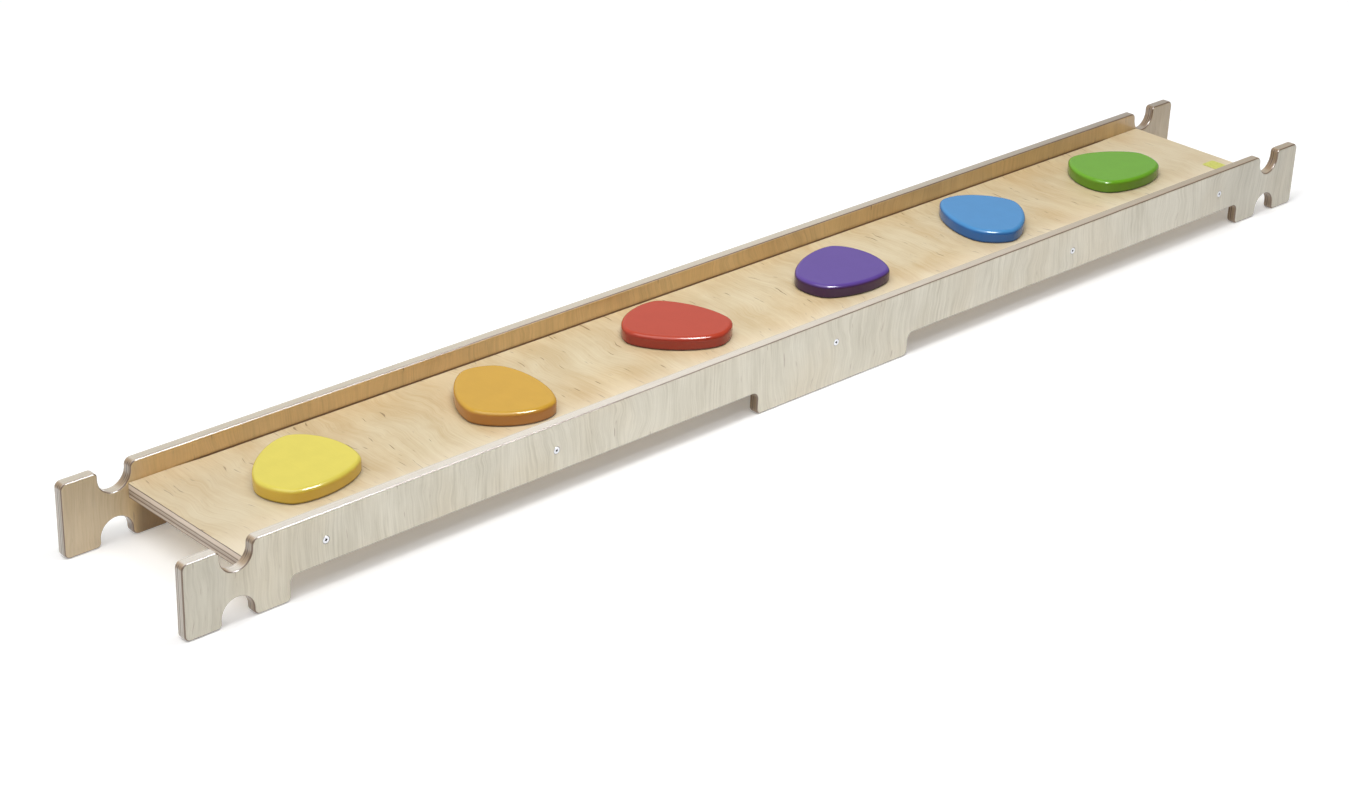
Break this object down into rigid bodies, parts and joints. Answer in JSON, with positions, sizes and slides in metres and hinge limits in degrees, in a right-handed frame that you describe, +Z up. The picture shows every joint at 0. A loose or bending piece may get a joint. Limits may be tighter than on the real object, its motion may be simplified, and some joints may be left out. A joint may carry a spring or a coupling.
{
  "type": "stepping board",
  "caption": "Long plywood board with notched side rails that hook over ladder rungs, a flat deck and pebble-shaped steps, lying on flat feet.",
  "frame": {"origin": "on the floor below the middle of the board", "axes": "+X along the board towards the end with the green step, +Y from the front rail to the rear rail, +Z up"},
  "size_m": [2, 0.25, 0.095],
  "materials": {
    "rail_birch": "clear-lacquered birch plywood, satin",
    "deck_birch": "clear-lacquered birch plywood, satin",
    "lime_sticker": "matte vinyl",
    "zinc_screw": "zinc plated",
    "paint_yellow": "satin paint on wood",
    "paint_orange": "satin paint on wood",
    "paint_red": "satin paint on wood",
    "paint_purple": "satin paint on wood",
    "paint_blue": "satin paint on wood",
    "paint_green": "satin paint on wood"
  },
  "bodies": {
    "root": {"rail_front": "rail_birch", "rail_rear": "rail_birch", "deck_panel": "deck_birch", "blank_label": "lime_sticker", "step_yellow": "paint_yellow", "step_orange": "paint_orange", "step_red": "paint_red", "step_purple": "paint_purple", "step_blue": "paint_blue", "step_green": "paint_green", "rail_screw_front_1": "zinc_screw", "rail_screw_front_2": "zinc_screw", "rail_screw_front_3": "zinc_screw", "rail_screw_front_4": "zinc_screw", "rail_screw_front_5": "zinc_screw", "rail_screw_rear_1": "zinc_screw", "rail_screw_rear_2": "zinc_screw", "rail_screw_rear_3": "zinc_screw", "rail_screw_rear_4": "zinc_screw", "rail_screw_rear_5": "zinc_screw", "step_screw_yellow_a": "zinc_screw", "step_screw_yellow_b": "zinc_screw", "step_screw_orange_a": "zinc_screw", "step_screw_orange_b": "zinc_screw", "step_screw_red_a": "zinc_screw", "step_screw_red_b": "zinc_screw", "step_screw_purple_a": "zinc_screw", "step_screw_purple_b": "zinc_screw", "step_screw_blue_a": "zinc_screw", "step_screw_blue_b": "zinc_screw", "step_screw_green_a": "zinc_screw", "step_screw_green_b": "zinc_screw"}
  },
  "joints": []
}
